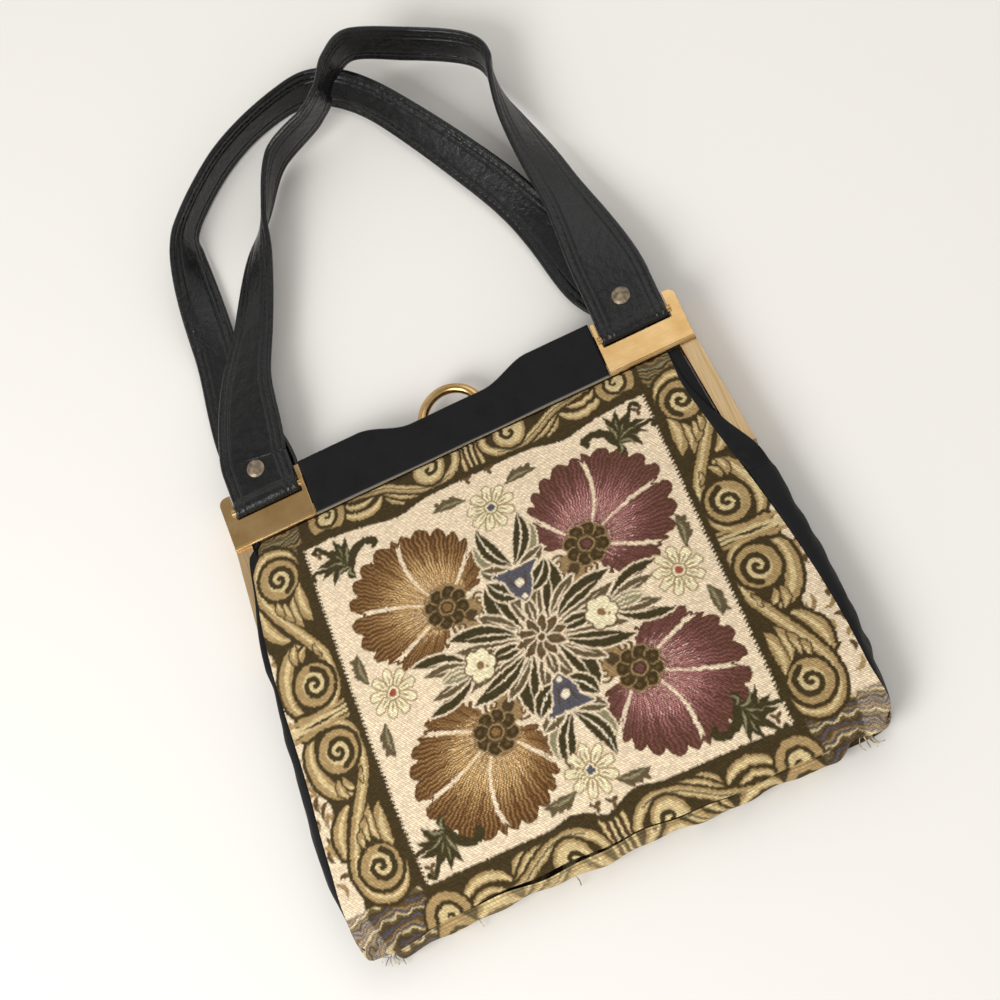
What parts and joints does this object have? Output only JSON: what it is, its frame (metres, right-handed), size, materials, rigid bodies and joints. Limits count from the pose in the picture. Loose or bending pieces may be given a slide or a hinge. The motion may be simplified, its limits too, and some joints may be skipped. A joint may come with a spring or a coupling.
{
  "type": "framed shoulder bag",
  "caption": "Tapestry shoulder bag lying on its back, with a hinged gold frame, black leather collars and gussets, a pull ring clasp and two leather strap handles.",
  "frame": {"origin": "middle of the back panel's flat resting face, on the bag's centre plane", "axes": "+X to the bag's right as seen from its front, +Y from its bottom to its handles, +Z out of its front"},
  "size_m": [0.2872, 0.4534, 0.0509],
  "materials": {
    "tapestry": "woven jacquard tapestry",
    "lining_cloth": "plain woven lining",
    "black_leather": "satin black leather",
    "strap_leather": "glossy black stitched leather",
    "brushed_gold": "lengthwise brushed",
    "polished_gold": "worn polish",
    "rivet_brass": "dull"
  },
  "bodies": {
    "bag": {"front_panel": "tapestry", "back_panel": "tapestry", "bottom_panel": "tapestry", "left_gusset": "black_leather", "right_gusset": "black_leather", "lining": "lining_cloth", "back_frame": "brushed_gold", "left_hinge_rivet": "brushed_gold", "right_hinge_rivet": "brushed_gold", "back_left_plate": "polished_gold", "back_right_plate": "polished_gold", "back_collar": "black_leather", "clasp_knuckle": "polished_gold"},
    "front_half": {"front_frame": "brushed_gold", "front_left_plate": "polished_gold", "front_right_plate": "polished_gold", "front_collar": "black_leather", "clasp_catch": "polished_gold"},
    "front_handle": {"front_handle": "strap_leather", "front_left_rivet": "rivet_brass", "front_right_rivet": "rivet_brass"},
    "back_handle": {"back_handle": "strap_leather", "back_left_rivet": "rivet_brass", "back_right_rivet": "rivet_brass"},
    "clasp": {"clasp_ring": "polished_gold"}
  },
  "joints": [
    {"name": "frame_open", "type": "hinge", "parent": "bag", "child": "front_half", "pos_m": [0, 0.041, 0.0121], "axis": [1, 0, 0], "range_deg": [0, 70]},
    {"name": "front_handle_swing", "type": "hinge", "parent": "front_half", "child": "front_handle", "pos_m": [0, 0.127, 0.0201], "axis": [1, 0, 0], "range_deg": [0, 110]},
    {"name": "back_handle_swing", "type": "hinge", "parent": "bag", "child": "back_handle", "pos_m": [0, 0.127, 0.0041], "axis": [1, 0, 0], "range_deg": [-110, 0]},
    {"name": "clasp_tilt", "type": "hinge", "parent": "bag", "child": "clasp", "pos_m": [0, 0.1183, 0.0111], "axis": [1, 0, 0], "range_deg": [-15, 0], "stiffness_Nm_per_rad": 0.15}
  ]
}
